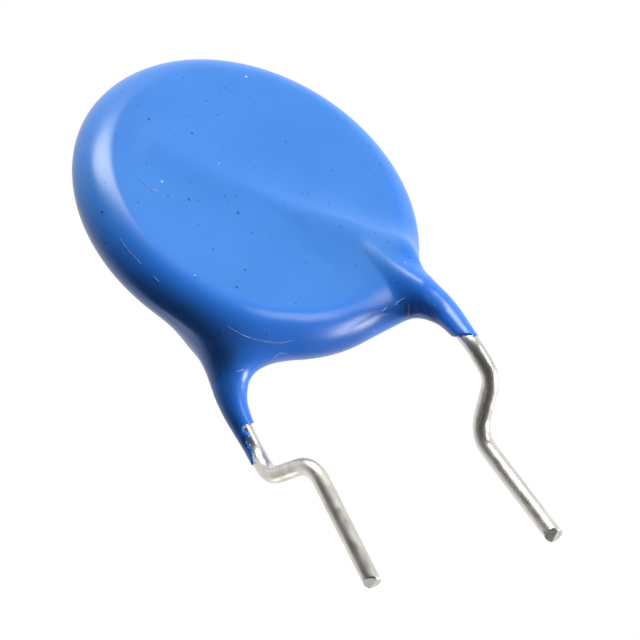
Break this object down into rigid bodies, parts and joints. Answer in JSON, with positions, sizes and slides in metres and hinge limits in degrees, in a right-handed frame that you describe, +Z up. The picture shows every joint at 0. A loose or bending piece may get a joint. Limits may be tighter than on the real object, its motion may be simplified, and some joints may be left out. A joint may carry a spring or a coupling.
{
  "type": "ceramic disc capacitor",
  "caption": "Radial ceramic disc capacitor: a round ceramic element in a dip-coated epoxy shell, with kinked tinned wire leads for a through-hole board.",
  "frame": {"origin": "on the board's top face, midway between the leads", "axes": "+Z up from the board through the disc's centre, X from lead to lead, -Y out of the front face of the disc"},
  "size_m": [0.017, 0.006, 0.0293],
  "materials": {
    "epoxy": "satin-gloss dip coating",
    "ceramic": "fired, matte",
    "silver": "fired silver film",
    "solder": "bright solder",
    "tinned_wire": "tinned, satin"
  },
  "bodies": {
    "root": {"epoxy_coating": "epoxy", "ceramic_disc": "ceramic", "front_electrode": "silver", "rear_electrode": "silver", "front_solder": "solder", "rear_solder": "solder", "front_lead": "tinned_wire", "rear_lead": "tinned_wire"}
  },
  "joints": []
}
